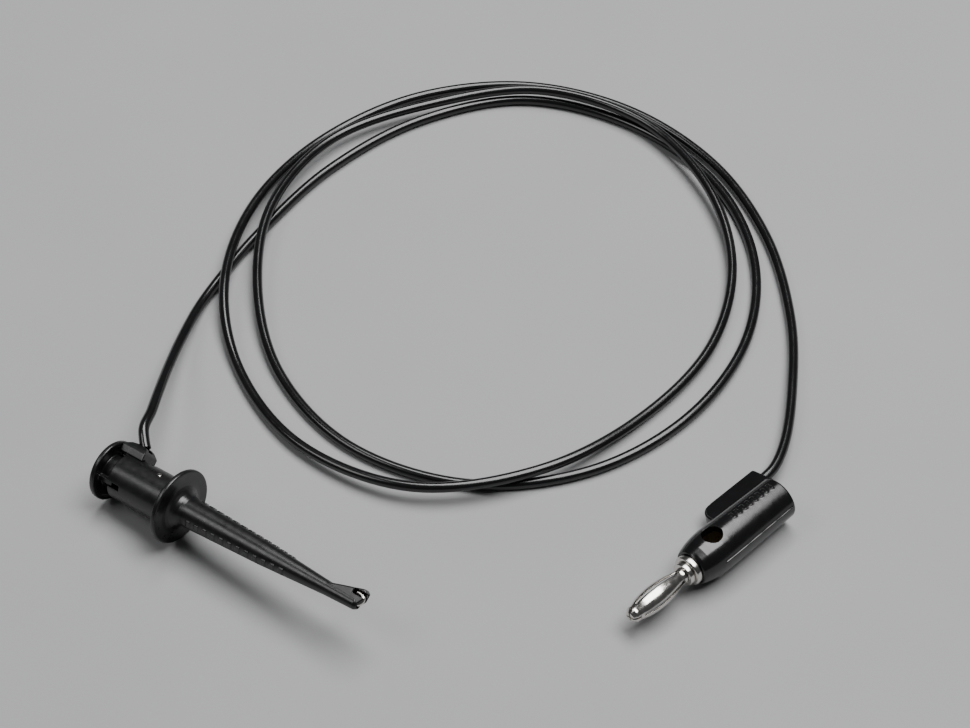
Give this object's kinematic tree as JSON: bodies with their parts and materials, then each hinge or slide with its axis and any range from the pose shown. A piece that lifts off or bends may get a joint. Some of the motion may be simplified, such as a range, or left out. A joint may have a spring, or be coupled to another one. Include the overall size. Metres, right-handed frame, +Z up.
{
  "type": "test lead",
  "caption": "Flexible insulated test lead with a stackable banana plug at one end and a sprung hook clip that grips a wire or component leg at the other.",
  "frame": {"origin": "on the table, at the centre of the rectangle that the hook clip and the banana plug cover together, without the cord", "axes": "+Z up from the table; +X from the hook clip to the banana plug; +Y from the two ends to the coiled cord"},
  "size_m": [0.1319, 0.1462, 0.0143],
  "materials": {
    "black_plastic": "satin moulded nylon, slightly polished where handled",
    "cord_jacket": "smooth satin flexible jacket",
    "nickel_plate": "bright nickel plate",
    "brass_bare": "turned, lightly tarnished",
    "copper_strand": "tinned copper strand and solder",
    "spring_steel": "drawn wire"
  },
  "bodies": {
    "lead": {"thumb_plunger": "black_plastic", "wire_boss": "black_plastic", "hook_rod": "nickel_plate", "solder_terminal": "brass_bare", "hook_conductor": "copper_strand", "return_spring": "spring_steel", "spring_washer": "spring_steel", "plug_body": "black_plastic", "contact_pin": "nickel_plate", "leaf_basket": "nickel_plate", "pin_collar": "nickel_plate", "retaining_ring": "nickel_plate", "socket_core": "brass_bare", "crimp_ferrule": "copper_strand", "plug_conductor": "copper_strand", "test_cord": "cord_jacket"},
    "sleeve": {"nose_sleeve": "black_plastic", "stop_pin": "nickel_plate"}
  },
  "joints": [
    {"name": "sleeve_slide", "type": "slide", "parent": "lead", "child": "sleeve", "axis": [-0.8037, 0.5891, -0.0835], "range_m": [0, 0.0019], "stiffness_N_per_m": 900, "springref_m": -0.0015, "deforming": ["return_spring"]}
  ]
}
